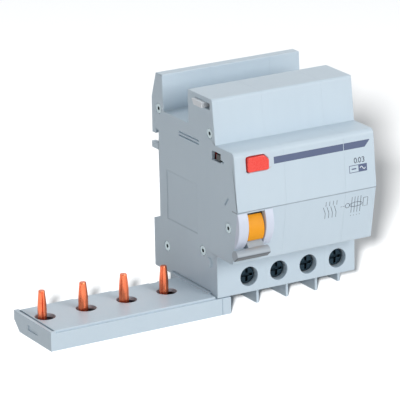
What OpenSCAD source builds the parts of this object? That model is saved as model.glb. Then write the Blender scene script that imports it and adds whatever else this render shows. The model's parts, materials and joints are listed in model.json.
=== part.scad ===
// Residual current add-on block for a four-pole modular breaker.
// Origin: on the rail seat, at mid width, on the rail's centre line.
// +X to the right, +Y towards the wall behind the rail, +Z up. Millimetres.
// Widths inside the block are measured from its left face, so each module is drawn in_block().

/* [Block] */
// Width of the casing, three and a half modules
block_w = 63; // [60:0.5:76]
// Width of the left casing slice
left_slice_w = 22; // [21.8:0.1:22.6]
// Width of the right casing slice
right_slice_w = 14; // [13.6:0.1:14.4]
// Thickness of the front, rear, top and bottom walls
wall = 1.8; // [1.4:0.1:2.2]
// Thickness of the two side walls
side_wall = 1.6; // [1.2:0.1:1.7]

/* [Outline] */
// Rail seat to the crease of the nose
nose_depth = 60; // [58:0.5:66]
// Height of the nose
nose_h = 44.8; // [44:0.1:45.6]
// How far the nose's upper edge lies behind the crease
nose_top_back = 2.2; // [1:0.1:3]
// How far the nose's lower edge lies behind the crease
nose_bottom_back = 4.1; // [3:0.1:5]
// Rail seat to the front of the terminal shoulder
body_depth = 44.15; // [42.5:0.1:46]
// Top of the tower above the rail's centre line
tower_h = 40.1; // [38.5:0.1:48]
// Bottom of the casing below the rail's centre line
block_drop = 39.5; // [39.2:0.1:41]
// Underside of the wing and the fins below the rail's centre line
stand_drop = 46.7; // [46:0.1:50]
// Depth of the rear wall and foot behind the rail seat
foot_depth = 4.9; // [4.5:0.1:6]
// Height of the trough's floor above the rail's centre line
trough_floor = 26.4; // [25.6:0.1:28]
// Rail seat to the front of the trough
trough_front = 23.65; // [20:0.1:25]

/* [Rail] */
// Width of the mounting rail
rail_w = 35; // [34.6:0.1:35.4]
// Room for the rail between the two seat edges
rail_play = 0.4; // [0.2:0.1:0.6]
// Thickest rail lip that the fixed hook takes
rail_lip_t = 1.5; // [1:0.1:1.8]
// Travel of the rail clip
clip_travel = 4; // [3:0.1:4]

/* [Terminals] */
// Distance between terminals
terminal_pitch = 13.5; // [13.4:0.1:13.6]
// Radius of the screwdriver holes
screw_hole_r = 3.9; // [3.6:0.1:4.1]
// Radius of the cable entries
cable_hole_r = 4.2; // [3.5:0.1:4.3]
// Nominal diameter of the clamping screws
screw_d = 5; // [4:0.1:5.4]
// Running clearance of the screw in its cage, on the radius
thread_gap = 0.05; // [0.02:0.01:0.09]
// Travel of a clamp cage from open to closed
cage_travel = 7.2; // [5:0.1:7.2]

/* [Wing] */
// Number of modules of the breaker that the wing passes under
wing_modules = 4; // [4]
// Width of one module
module_w = 17.8; // [17.5:0.1:18.2]
// Front to rear size of the wing's top
wing_depth = 30.55; // [29.5:0.1:32]
// Wall thickness of the wing
wing_wall = 1.4; // [1.1:0.1:1.5]
// Diameter of a contact prong
prong_d = 3.8; // [3.4:0.1:4]
// Height of a prong above the wing
prong_rise = 10.7; // [8:0.1:12]
// Diameter of an insulated conductor
lead_d = 3; // [2.4:0.1:3.1]

/* [Controls] */
// Width of the test button
button_w = 9.4; // [8.5:0.1:10.4]
// Height of the test button
button_h = 5.8; // [5:0.1:6.4]
// Travel of the test button
button_travel = 1.5; // [1:0.1:1.6]
// Clearance round the button and the other sliding pieces
slide_gap = 0.25; // [0.2:0.01:0.3]
// Width of the lever's stem and drum
lever_w = 7; // [6:0.1:7.2]
// Radius of the lever's drum
drum_r = 7.6; // [7.2:0.1:7.8]
// Reach of the lever from its axle to its cross bar
lever_reach = 11.65; // [11.4:0.05:14]
// Length of the lever's cross bar
bar_len = 14.8; // [13:0.1:16]
// Angle from full down to full up
lever_turn = 80; // [60:1:80]
// Radius of the through-rivets
rivet_r = 1.4; // [1.2:0.05:1.5]
// Running clearance of the lever on its rivet, on the radius
pivot_gap = 0.06; // [0.02:0.01:0.09]

/* [Hidden] */
$fn = 48;
POLES = [0, 1, 2, 3];
function numbered(stem) = [for (i = POLES) str(stem, "_", i + 1)];

// Colours of the mouldings and metals
CASE = [0.80, 0.85, 0.89];
INNER = [0.88, 0.88, 0.86];
COPPER = [0.80, 0.38, 0.22];
BRASS = [0.78, 0.63, 0.30];
STEEL = [0.72, 0.73, 0.75];
DARK = [0.08, 0.08, 0.09];
RED = [0.95, 0.20, 0.14];
ORANGE = [1.00, 0.62, 0.05];
GREY = [0.60, 0.63, 0.66];
WHITE = [0.93, 0.94, 0.94];
SLEEVES = [[0.45, 0.28, 0.16], [0.15, 0.15, 0.16], [0.55, 0.56, 0.58], [0.15, 0.33, 0.62]];

eps = 0.01;
off_axis = [0.36, 0.48, 0.8];   // a direction that no wire runs along
touch_gap = 0.05;      // between pieces of one body that lie against each other

// Outline of the casing, seen from the right: [y, z, corner radius], anticlockwise
crease_z = -0.45;
crease_step = 0.3;
half_nose = nose_h / 2;
seat_half = (rail_w + rail_play) / 2;
hook_in = 1.8;         // how far the fixed hook reaches behind the rail's lip
hook_y = rail_lip_t + 0.6;
foot_chamfer = 1.9;
rear_top_rise = 14.6;  // rear wall's top above the trough's floor
rear_wall_t = 4.9;
trough_rear = 4.36;
knee_drop = 10.5;
tower_lean = 2.2;
case_outline = [
    [-nose_depth, crease_z, 0.3],
    [-nose_depth + crease_step, crease_z - crease_step, 0],
    [-nose_depth + nose_bottom_back, -half_nose, 1],
    [-body_depth, -half_nose, 0.4],
    [-body_depth, -block_drop, 0.5],
    [foot_depth, -block_drop, 0.8],
    [foot_depth, -seat_half - foot_chamfer, 0.4],
    [0, -seat_half, 0],
    [0, seat_half, 0],
    [hook_y, seat_half, 0],
    [hook_y, seat_half - hook_in, 0.3],
    [foot_depth, seat_half - hook_in, 0.5],
    [foot_depth, trough_floor + rear_top_rise - knee_drop, 0.6],
    [rear_wall_t - trough_rear + 0.7, trough_floor + rear_top_rise, 0.7],
    [-trough_rear + 0.7, trough_floor + rear_top_rise, 0.4],
    [-trough_rear, trough_floor, 0.5],
    [-trough_front, trough_floor, 0.5],
    [-trough_front, tower_h, 0.5],
    [-body_depth + tower_lean, tower_h, 1.2],
    [-body_depth, half_nose, 0.4],
    [-nose_depth + nose_top_back, half_nose, 2.2]];

// The same outline without the rail seat and the rear wall: the hollow lies one wall inside it
hollow_outline = [
    [-nose_depth, crease_z],
    [-nose_depth + nose_bottom_back, -half_nose],
    [-body_depth, -half_nose],
    [-body_depth, -block_drop],
    [0, -block_drop],
    [0, trough_floor],
    [-trough_front, trough_floor],
    [-trough_front, tower_h],
    [-body_depth + tower_lean, tower_h],
    [-body_depth, half_nose],
    [-nose_depth + nose_top_back, half_nose]];

function unit(v) = v / norm(v);
function at(list, i) = list[(i + len(list)) % len(list)];
function yz(p) = [p[0], p[1]];

// An arc of radius r that rounds the corner b between a and c
function corner(a, b, c, r, steps = 5) =
    r <= 0 ? [b] :
    let (u = unit(a - b), v = unit(c - b), half = acos(u * v) / 2,
         centre = b + unit(u + v) * r / sin(half),
         s = b + u * r / tan(half) - centre, e = b + v * r / tan(half) - centre,
         from = atan2(s.y, s.x), turn = (atan2(e.y, e.x) - from + 540) % 360 - 180)
    [for (k = [0:steps]) centre + r * [cos(from + turn * k / steps), sin(from + turn * k / steps)]];

function rounded(points) =
    [for (i = [0:len(points) - 1])
        each corner(yz(at(points, i - 1)), yz(points[i]), yz(at(points, i + 1)), points[i][2])];

// Each corner of an anticlockwise outline, moved inwards by d
function inset(points, d) =
    [for (i = [0:len(points) - 1])
        let (e1 = unit(points[i] - at(points, i - 1)), e2 = unit(at(points, i + 1) - points[i]),
             n1 = [-e1.y, e1.x], n2 = [-e2.y, e2.x])
        points[i] + d * (n1 + n2) / (1 + n1 * n2)];

// The part of an arc between two angles, for polygons
function arc(centre, r, a0, a1, steps) =
    [for (k = [0:steps]) centre + r * [cos(a0 + (a1 - a0) * k / steps), sin(a0 + (a1 - a0) * k / steps)]];

// A path of [x, y, z] points with each inner corner rounded to radius r
function soft_path(p, r, steps = 4) =
    [for (i = [0:len(p) - 1])
        each (i == 0 || i == len(p) - 1) ? [p[i]] :
        let (u = unit(p[i - 1] - p[i]), v = unit(p[i + 1] - p[i]), full = acos(u * v))
        full > 178 ? [p[i]] :
        let (half = full / 2, centre = p[i] + unit(u + v) * r / sin(half),
             s = p[i] + u * r / tan(half) - centre, e = p[i] + v * r / tan(half) - centre,
             turn = 180 - full)
        [for (k = [0:steps])
            centre + (sin((1 - k / steps) * turn) * s + sin(k / steps * turn) * e) / sin(turn)]];

// A round bar of radius r carried along a path; "up" is never along the path
module sweep(path, r, up, sides = 10) {
    last = len(path) - 1;
    rings = [for (i = [0:last])
        let (t = unit(path[min(i + 1, last)] - path[max(i - 1, 0)]),
             u = unit(cross(t, up)), v = cross(t, u))
        for (k = [0:sides - 1]) path[i] + r * (cos(360 * k / sides) * u + sin(360 * k / sides) * v)];
    walls = [for (i = [0:last - 1]) for (k = [0:sides - 1])
        let (a = i * sides + k, b = i * sides + (k + 1) % sides)
        each [[a, a + sides, b], [b, a + sides, b + sides]]];
    caps = [[for (k = [0:sides - 1]) k],
            [for (k = [0:sides - 1]) last * sides + sides - 1 - k]];
    polyhedron(points = rings, faces = concat(caps, walls), convexity = 8);
}

// A coil spring along +Z from 0 to h
module coil(r, wire, turns, h) {
    per_turn = 16;
    steps = turns * per_turn;
    path = [for (i = [0:steps])
        [r * cos(360 * i / per_turn), r * sin(360 * i / per_turn), wire + (h - 2 * wire) * i / steps]];
    sweep(path, wire, [0, 0, 1], 6);
}

module in_block() { translate([-block_w / 2, 0, 0]) children(); }
module slab(points, x0, x1) {
    translate([x0, 0, 0]) rotate([90, 0, 90]) linear_extrude(x1 - x0) polygon(points);
}
module along_x(x, y, z, r, len) { translate([x, y, z]) rotate([0, 90, 0]) cylinder(r = r, h = len); }
module along_y(x, y, z, r, len) { translate([x, y, z]) rotate([-90, 0, 0]) cylinder(r = r, h = len); }
// A box between two opposite corners
module span(a, b) { translate(a) cube(b - a); }

// ---- Places that several pieces share ----
right_x = block_w - right_slice_w;      // left edge of the right slice
first_terminal = 14.35;
function terminal_x(i) = first_terminal + i * terminal_pitch;
function fin_x(i) = terminal_x(i) + terminal_pitch / 2;
fin_t = 1.2;
fin_front = body_depth - 5.1;
fin_rear = 14;
fin_step = 4.6;                         // the last fin starts this much further back

screw_z = -33;
head_front = 42;
head_t = 3.6;
head_r = screw_hole_r - 0.6;
head_rear = head_front - head_t;
cage_half_w = 5.6;
cage_half_h = 4.2;
cage_front = head_rear - cage_travel - 0.6;
cage_front_t = 2.8;
cage_rear_t = 2;
window_front = cage_front - cage_front_t;
plate_front = window_front - 0.9;
plate_t = 1.5;
wire_room = 2 * cable_hole_r + 0.2;
window_rear = plate_front - plate_t - wire_room;
cable_y = -(plate_front - plate_t + window_rear) / 2;
plate_top = -21.5;
lead_z = -24.3;

// Face line of the nose's lower half, used by the lever
face_run = [nose_bottom_back, -half_nose - crease_z];
face_out = unit([face_run.y, -face_run.x]);
lever_z = -8.4;
function lower_face_y(z) = -nose_depth + (z - crease_z) * nose_bottom_back / (-half_nose - crease_z);
function upper_face_y(z) = -nose_depth + (z - crease_z) * nose_top_back / (half_nose - crease_z);
axle_depth = 5.6;
axle_y = lower_face_y(lever_z) + axle_depth;
lever_mid = 8.25;
stem_down = 50.6;                        // degrees that the stem points below the horizontal at rest
stem_t = 2.4;

rivet_places = [
    [-0.5, trough_floor + 0.3], [-39.9, 26.2], [axle_y, lever_z], [-5.2, -28.8], [-33.3, -22.8]];
rivet_head_r = rivet_r + 0.6;
rivet_head_t = 0.4;

button_x = 10.15;
button_z = 17.3;
button_proud = 1.1;
button_front = upper_face_y(button_z) - button_proud;
flange_y = upper_face_y(button_z) + wall + 0.5;
flange_t = 1;
flange_lip = 0.9;
stem_r = 1.9;
spring_room = 3.8;
seat_rib_y = flange_y + flange_t + spring_room;
seat_rib_t = 0.8;
bridge_rear = seat_rib_y + seat_rib_t + 0.7;
bridge_t = 0.4;
contact_y = bridge_rear + button_travel + 0.2;
contact_t = 0.3;

link_x = 12.6;
link_t = 1.6;
link_front = 47.9;
link_rear = 41.5;
link_travel = 2;
post_r = 1.3;
post_y = -43.8;
post_zs = [11, -15.5];
plate_x = link_x + link_t + 1;
mech_t = 1;
peg_z0 = 17;
peg_z1 = 19.2;
peg_front = 47.4;
peg_rear = 44.4;

sensor_y = -24;
sensor_z = 3;
sensor_x0 = 25.2;
sensor_x1 = 43.2;
sensor_r = 19;
sensor_hole_r = 7;
sensor_wall = 1.2;
core_r0 = 10.6;
core_r1 = 15.8;
web_t = 1.6;

relay_x0 = 24.4;
relay_x1 = 43.4;
relay_y0 = -54.2;
relay_y1 = -44.4;
relay_z0 = -6;
relay_z1 = 14;
relay_wall = 0.9;
relay_mid_y = -49.4;
relay_mid_z = 4;
plunger_travel = 1.2;
armature_x = 28.4;
coil_x0 = armature_x + 1 + plunger_travel + 0.4;
coil_x1 = 40;
plunger_r = 0.9;

latch_y0 = -36.7;
latch_y1 = -29;
latch_z1 = tower_h - wall - 0.3;
latch_z0 = latch_z1 - 2.3;
latch_proud = 1.5;
latch_len = 12;
latch_spring_len = 6;

wing_left = -wing_modules * module_w - 1.8;
wing_right = 6;
wing_top = -38.9;
rim_z = wing_top - 0.9;
rim_w = 1;
rim_left = 2.2;
cover_t = 1.7;
wing_front = -body_depth;
wing_rear = wing_front + wing_depth;
root_rear = -9.4;
root_top = -38.2;
seam_z = -38;
seam_front = -39.4;
seam_rear = -9.2;
prong_y = -26.9;
prong_x0 = wing_left + 5.5;
function prong_x(i) = prong_x0 + i * module_w;
foot_size = 5;
foot_t = 2.2;
lead_r = lead_d / 2;
wing_floor = -stand_drop + wing_wall;
wing_lead_z = wing_floor + lead_r + touch_gap;
riser_x = 3.3;
wing_lanes = [-37, -32.6, -20.9, -27];
risers = [-37, -29.4, -21.4, -25.4];
ring_spots = [[-1, -1], [1, -1], [1, 1], [-1, 1]];
low_lanes = [-17, -12.5, sensor_y + 2];
low_lane_z = sensor_z - sensor_r - lead_r - 0.9;
drops = [sensor_x1 + 2.1, sensor_x1 + 2.1, sensor_x1 + 5.7];

clip_x = 35.5;                           // centre of the rail clip
clip_w = 14;
clip_neck_w = 10.4;
clip_y0 = 2.1;
clip_y1 = foot_depth - 0.3;
clip_lip_t = 1;
clip_top = -seat_half + hook_in;
clip_bottom = -stand_drop + clip_travel + 0.3;
clip_window = [2.2, -34.2, -21.5];       // half width, bottom, top
nub_z0 = -32;
nub_z1 = -30;

// ---- Casing ----
collar_t = 1.1;
// One slice of the casing between x0 and x1, hollow between h0 and h1
module slice(x0, x1, h0, h1, poles, fins) {
    tube_len = body_depth - head_rear;
    difference() {
        union() {
            difference() {
                slab(rounded(case_outline), x0, x1);
                slab(inset(hollow_outline, wall), h0, h1);
            }
            // collars round the screw heads, down to the floor of the slice
            for (i = poles)
                along_y(terminal_x(i), -body_depth + wall / 2, screw_z,
                        screw_hole_r + collar_t, tube_len - wall / 2);
            for (i = fins) {
                front = fin_front - (i == 3 ? fin_step : 0);
                span([fin_x(i) - fin_t / 2, -front, -stand_drop],
                     [fin_x(i) + fin_t / 2, -fin_rear, -block_drop + eps]);
            }
        }
        for (i = poles) {
            along_y(terminal_x(i), -body_depth - 1, screw_z, screw_hole_r, tube_len + 2);
            translate([terminal_x(i), cable_y, -block_drop - 1]) cylinder(r = cable_hole_r, h = wall + 2);
        }
        for (p = rivet_places) along_x(x0 - 1, p.x, p.y, rivet_r + touch_gap, x1 - x0 + 2);
    }
}

// Counterbore for the rivet heads in an outer face
module rivet_seats(x0) {
    for (p = rivet_places) along_x(x0, p.x, p.y, rivet_head_r + 0.1, rivet_head_t + 1 + 0.1);
}

// Raised cheeks beside the lever's drum, proud of the nose's lower face
cheek_half = 7.6;
cheek_proud = 2.6;
cheek_r = (cheek_half * cheek_half + cheek_proud * cheek_proud) / (2 * cheek_proud);
module cheek(x0, x1) {
    face = [lower_face_y(lever_z), lever_z];
    centre = face - face_out * (cheek_r - cheek_proud);
    mid = atan2(face_out.y, face_out.x);
    open = asin(cheek_half / cheek_r);
    rim = arc(centre, cheek_r, mid - open, mid + open, 24);
    slab(concat(rim, [rim[24] - face_out * 1, rim[0] - face_out * 1]), x0, x1);
}

slot_x0 = lever_mid - lever_w / 2 - slide_gap - 0.1;
slot_x1 = lever_mid + lever_w / 2 + slide_gap + 0.1;
slot_half = 7.3;
slot_drop = 0.4;                         // the slot's centre lies this far below the axle's level
module lever_slot() {
    mid = [lower_face_y(lever_z - slot_drop), lever_z - slot_drop];
    t = unit(face_run);
    slab([mid - t * slot_half + face_out * 5, mid - t * slot_half - face_out * 3,
          mid + t * slot_half - face_out * 3, mid + t * slot_half + face_out * 5], slot_x0, slot_x1);
    along_x(slot_x0, axle_y, lever_z, drum_r + 0.3, slot_x1 - slot_x0);
}

// The button's outline in front view, with one corner cut; grow widens it all round
module button_outline(grow) {
    w = button_w / 2 + grow;
    h = button_h / 2 + grow;
    polygon(rounded([[-w, -h, 0.9], [w, -h, 0.9], [w, h - 1.9, 0.6], [w - 1.9, h, 0.6], [-w, h, 0.9]]));
}
module button_prism(y0, y1, grow) {
    translate([button_x, y1, button_z]) rotate([90, 0, 0]) linear_extrude(y1 - y0) button_outline(grow);
}

// Shallow marks in the left face: each [y0, z0, y1, z1, depth]
side_marks = [
    [-31.4, 19.5, -16.2, 20.1, 0.8],
    [-31.4, 20.9, -16.2, 21.4, 0.8],
    [-50.4, 16.9, -47.9, 17.6, 0.8]];

module left_shell() color(CASE) in_block() {
    difference() {
        union() {
            slice(0, left_slice_w, side_wall, left_slice_w + 1, [0], [0]);
            cheek(0, slot_x0);
            cheek(slot_x1, slot_x1 + 3.6);
            // guide posts of the trip link
            for (z = post_zs)
                along_x(side_wall - eps, post_y, z, post_r, plate_x - side_wall - touch_gap);
            // rib that seats the button's spring
            span([side_wall - eps, seat_rib_y, button_z - 4],
                 [button_x + 6, seat_rib_y + seat_rib_t, half_nose - wall + eps]);
            // two shelves that carry the coupling latch, and the wall behind its spring
            for (y = [latch_y0 + 0.3, latch_y1 - 1.8])
                span([side_wall - eps, y, latch_z0 - 1.8], [latch_len + 8, y + 1.5, latch_z0 - 0.1]);
            span([latch_len + latch_spring_len, latch_y0, latch_z0 - 1.8],
                 [latch_len + latch_spring_len + 1.2, latch_y1, tower_h - wall + eps]);
            // locating boss and rear hook tab
            along_x(-0.8, -38.2, -26.2, 2, 0.8 + eps);
            span([0.2, -eps, 9.4], [2.2, 5.8, 12.1]);
        }
        rivet_seats(-1);
        lever_slot();
        button_prism(-nose_depth - 1, flange_y, slide_gap);
        along_y(button_x, seat_rib_y - 1, button_z, stem_r + slide_gap, seat_rib_t + 2);
        // window for the trip link's peg
        span([-1, -48, peg_z0 - 0.7], [side_wall + eps, -41.3, peg_z1 + 0.7]);
        // window for the coupling latch, open to the front of it
        span([-1, latch_y0 - 3.5, latch_z0 - 0.1], [side_wall + eps, latch_y1 + slide_gap, latch_z1 + 0.1]);
        for (m = side_marks) span([-1, m[0], m[1]], [m[4], m[2], m[3]]);
        // slanted slot near the crease
        translate([0, -52, 2]) rotate([-52, 0, 0]) span([-1, -1.9, -0.4], [0.8, 1.9, 0.4]);
        // shallow panel of the left face
        span([-1, -29.2, -17], [0.25, -6, 2.9]);
        // room for the root of the wing and the leads that rise out of it
        span([-1, seam_front, -block_drop - 1], [side_wall + eps, seam_rear, seam_z]);
        span([side_wall, seam_front, -block_drop - 1], [wing_right + 0.3, seam_rear, seam_z + 0.4]);
    }
}

module middle_shell() color(CASE) in_block() difference() {
    union() {
        slice(left_slice_w, right_x, left_slice_w - 1, right_x - web_t, [1, 2], [1, 2]);
        // pegs of the web that carry the sensing ring
        for (a = [90, 210, 330])
            along_x(sensor_x1 + touch_gap, sensor_y + 14 * cos(a), sensor_z + 14 * sin(a), 2,
                    right_x - web_t - sensor_x1);
        // ribs that hold the relay off the front wall
        for (x = [27, 39])
            span([x, -nose_depth + wall + 0.3, relay_z0 + 1],
                 [x + 1.2, relay_y0 - touch_gap, relay_z1 - 1]);
        // nub that the clip's spring stands on
        span([clip_x - 1.8, clip_y0 - 0.4, nub_z0], [clip_x + 1.8, clip_y1 - 0.6, nub_z1]);
    }
    // window in the web for the last lead
    span([right_x - web_t - eps, -33, -28], [right_x + 1, -12, 12]);
    clip_channel();
}

// Channel for the rail clip in the foot; it leaves the nub standing
module clip_channel() {
    half = clip_w / 2 + 0.3;
    neck = clip_neck_w / 2 + 0.3;
    back = clip_y0 - 0.2;
    lip_y = foot_depth - clip_lip_t;
    difference() {
        union() {
            span([clip_x - half, back, -block_drop - 1], [clip_x + half, lip_y, clip_top + 0.2]);
            span([clip_x - neck, back, -block_drop - 1], [clip_x + neck, foot_depth + 1, clip_top + 0.2]);
        }
        span([clip_x - 1.8, back - 1, nub_z0], [clip_x + 1.8, clip_y1 - 0.6, nub_z1]);
    }
}

module right_shell() color(CASE) in_block() difference() {
    slice(right_x, block_w, right_x - 1, block_w - side_wall, [3], [3]);
    rivet_seats(block_w - rivet_head_t - 0.1);
}

// Tubular through-rivets with a flared head at each side
module rivets() color(STEEL) in_block() for (p = rivet_places) difference() {
    union() {
        along_x(0.1, p.x, p.y, rivet_r, block_w - 0.2);
        along_x(0.1, p.x, p.y, rivet_head_r, rivet_head_t);
        along_x(block_w - 0.1 - rivet_head_t, p.x, p.y, rivet_head_r, rivet_head_t);
    }
    along_x(-1, p.x, p.y, rivet_r * 0.55, block_w + 2);
}

// ---- Wing ----
wing_chamfer = [4.3, 4.1];               // bevel along the wing's rear edge, along Y and Z
root_z = -stand_drop + 2.6;
root_left = -1.2;
// The wing's cross section up to the height z; a high one leaves the hollow open at the top
function wing_section(z) = [
    [wing_front, -stand_drop],
    [wing_rear - wing_chamfer.x, -stand_drop],
    [wing_rear, -stand_drop + wing_chamfer.y],
    [wing_rear, z],
    [wing_front, z]];
module wing_tray() color(CASE) in_block() {
    ledge = wing_top - cover_t;
    difference() {
        union() {
            slab(wing_section(rim_z), wing_left, wing_right);
            span([wing_left, wing_front, wing_top - 4], [wing_left + rim_left, wing_rear, wing_top]);
            span([root_left, wing_rear - 1, root_z], [wing_right, root_rear, ledge]);
        }
        slab(inset(wing_section(rim_z + 5), wing_wall), wing_left + wing_wall, wing_right - 1);
        // the root's own hollow
        span([0.2, wing_rear - 3, root_z + wing_wall], [wing_right - 1, root_rear - wing_wall, 0]);
        // seat of the cover
        span([wing_left + rim_left, wing_front + rim_w, ledge], [wing_right + 1, wing_rear - rim_w, 0]);
        span([root_left - touch_gap, wing_rear - rim_w - 1, ledge], [wing_right + 1, root_rear + 1, 0]);
        // joint line between the wing and its root
        span([2, wing_front - 1, -stand_drop - 1], [2.3, wing_front + 0.3, 0]);
        // finger recess under the left rim
        span([wing_left - 1, -33, -stand_drop + 3], [wing_left + 0.5, -25, -stand_drop + 5]);
    }
    // low ribs that keep the prong feet in place
    for (i = POLES) for (side = [-1, 1]) {
        rib_y = prong_y + side * (foot_size / 2 + 0.55);
        span([prong_x(i) - 2, rib_y - 0.35, wing_floor - eps],
             [prong_x(i) + 2, rib_y + 0.35, wing_floor + foot_t - 0.6]);
    }
}

prong_hole_r = 4;
hole_shift = 1.2;
module wing_cover() color(CASE) in_block() difference() {
    union() {
        span([wing_left + rim_left + touch_gap, wing_front + rim_w + touch_gap, wing_top - cover_t],
             [wing_right, wing_rear - rim_w - touch_gap, wing_top]);
        // raised root that closes the gap to the casing
        span([root_left, seam_front + 0.2, wing_top - cover_t + 1], [wing_right, root_rear, root_top]);
        span([root_left, wing_rear - rim_w + touch_gap, wing_top - cover_t],
             [wing_right, root_rear, root_top]);
    }
    // round holes, each with its prong a little left of the centre
    for (i = POLES) translate([prong_x(i) + hole_shift, prong_y, wing_top - cover_t - 1])
        cylinder(r = prong_hole_r, h = cover_t + 2);
    // notch under the casing's front skirt
    span([-0.3, wing_front - 1, -block_drop - 0.2], [wing_right + 1, seam_front + 0.2, root_top + 1]);
    // way up for the leads
    span([side_wall + 0.1, -39, wing_top - cover_t - 1], [wing_right - 1, -19, root_top + 1]);
    // recesses in the rear edge
    for (x = [-45.8, -28.9, -12.2])
        span([x - 1.8, wing_rear - rim_w - 0.8, wing_top - 0.7], [x + 1.8, wing_rear + 1, wing_top + 1]);
}

// A copper contact pin with a tapered tip, on a square foot in the tray
module prong(i) color(COPPER) in_block() translate([prong_x(i), prong_y, 0]) {
    top = wing_top + prong_rise;
    taper = 5;
    translate([0, 0, wing_floor + touch_gap]) {
        translate([-foot_size / 2, -foot_size / 2, 0]) cube([foot_size, foot_size, foot_t]);
        cylinder(d = prong_d, h = top - taper - wing_floor - touch_gap);
    }
    translate([0, 0, top - taper]) cylinder(d1 = prong_d, d2 = prong_d * 0.74, h = taper - 0.4);
    translate([0, 0, top - 0.4]) cylinder(d1 = prong_d * 0.74, d2 = prong_d * 0.55, h = 0.4);
}

// ---- Leads ----
// Each lead: prong foot, its lane in the wing, up the riser, through the sensing ring, down to its plate
function lead_route(i) =
    let (spot = ring_spots[i] * (lead_r + 0.25), ry = sensor_y + spot.x, rz = sensor_z + spot.y,
         lane = wing_lanes[i], rise = risers[i], tx = terminal_x(i),
         back = -plate_front + plate_t + touch_gap,
         px = prong_x(i) + foot_size / 2 + touch_gap)
    concat(
        i == 3 ? [[px, prong_y, wing_lead_z]] :
            [[px, prong_y, wing_lead_z], [px + 2.2, prong_y, wing_lead_z],
             [px + 2.2 + abs(lane - prong_y) * 0.9, lane, wing_lead_z]],
        [[-7, lane, wing_lead_z], [-3.5, rise, wing_lead_z], [riser_x, rise, wing_lead_z]],
        [[riser_x, rise, rz + (i - 1.5) * 0.01], [sensor_x0 - 9, ry, rz]],
        i == 3 ? [[tx, ry, rz], [tx, ry + 3.5, lead_z], [tx, back, lead_z]] :
        i == 2 ? [[drops[i], ry, rz], [drops[i], low_lanes[i], lead_z], [tx, low_lanes[i] + 1, lead_z],
                  [tx, back, lead_z]] :
        [[drops[i], ry, rz], [drops[i], low_lanes[i], low_lane_z], [tx, low_lanes[i], low_lane_z],
         [tx, low_lanes[i] - 2, lead_z], [tx, back, lead_z]]);
module lead(i) color(SLEEVES[i]) in_block()
    sweep(soft_path(lead_route(i), lead_r * 0.9), lead_r, off_axis, 8);

// ---- Terminals ----
module terminal_screw(i) color(STEEL) in_block() translate([terminal_x(i), 0, screw_z]) {
    cross_w = 1.1;
    cross_depth = 1.5;
    difference() {
        along_y(0, -head_front, 0, head_r, head_t);
        for (a = [0, 90]) rotate([0, a, 0])
            span([-head_r + 0.7, -head_front - 1, -cross_w / 2],
                 [head_r - 0.7, -head_front + cross_depth, cross_w / 2]);
    }
    along_y(0, -head_rear - eps, 0, screw_d / 2, head_rear - plate_front - touch_gap);
}

module clamp_cage(i) color(STEEL) in_block() translate([terminal_x(i), 0, screw_z]) difference() {
    span([-cage_half_w, -cage_front, -cage_half_h], [cage_half_w, -window_rear + cage_rear_t, cage_half_h]);
    span([-cable_hole_r - 0.1, -window_front, -cage_half_h - 1],
         [cable_hole_r + 0.1, -window_rear, cage_half_h + 1]);
    along_y(0, -cage_front - 1, 0, screw_d / 2 + thread_gap, cage_front_t + 2);
}

module contact_plate(i) color(COPPER) in_block()
    span([terminal_x(i) - 3.3, -plate_front, screw_z - cage_half_h + 0.2],
         [terminal_x(i) + 3.3, -plate_front + plate_t, plate_top]);

// ---- Sensing ring ----
module ring_frame(x) { in_block() translate([x, sensor_y, sensor_z]) rotate([0, 90, 0]) children(); }
module ring(r0, r1, h) { rotate_extrude($fn = 96) translate([r0, 0]) square([r1 - r0, h]); }

core_x0 = sensor_x0 + 3.4;
core_len = sensor_x1 - core_x0 - 2.4;
wind_t = 1;
module sensor_core() color(STEEL) ring_frame(core_x0) ring(core_r0, core_r1, core_len);

module sensor_winding() color(COPPER) ring_frame(core_x0)
    rotate_extrude(angle = 150, $fn = 96) difference() {
        translate([core_r0 - wind_t - 0.1, -wind_t - 0.1])
            square([core_r1 - core_r0 + 2 * wind_t + 0.2, core_len + 2 * wind_t + 0.2]);
        translate([core_r0 - 0.1, -0.1]) square([core_r1 - core_r0 + 0.2, core_len + 0.2]);
    }

module sensor_case() color(DARK) ring_frame(sensor_x0 + sensor_wall) difference() {
    case_len = sensor_x1 - sensor_x0 - sensor_wall;
    ring(sensor_hole_r, sensor_r, case_len);
    translate([0, 0, -1])
        ring(sensor_hole_r + sensor_wall, sensor_r - sensor_wall, case_len - sensor_wall + 1);
}

module sensor_lid() color(DARK) ring_frame(sensor_x0)
    ring(sensor_hole_r, sensor_r, sensor_wall - touch_gap);

// ---- Trip relay ----
module relay_case() color(INNER) in_block() difference() {
    span([relay_x0 + relay_wall, relay_y0, relay_z0], [relay_x1, relay_y1, relay_z1]);
    span([relay_x0, relay_y0 + relay_wall, relay_z0 + relay_wall],
         [relay_x1 - relay_wall, relay_y1 - relay_wall, relay_z1 - relay_wall]);
}

module relay_lid() color(INNER) in_block() difference() {
    span([relay_x0, relay_y0, relay_z0], [relay_x0 + relay_wall - touch_gap, relay_y1, relay_z1]);
    along_x(relay_x0 - 1, relay_mid_y, relay_mid_z, plunger_r + slide_gap, relay_wall + 2);
}

core_rod_r = 1.5;
module relay_coil() color(COPPER) in_block() difference() {
    along_x(coil_x0 + 0.2, relay_mid_y, relay_mid_z, 3.6, coil_x1 - coil_x0 - 0.4);
    along_x(coil_x0 - 1, relay_mid_y, relay_mid_z, core_rod_r + touch_gap, coil_x1 - coil_x0 + 2);
}

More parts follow.
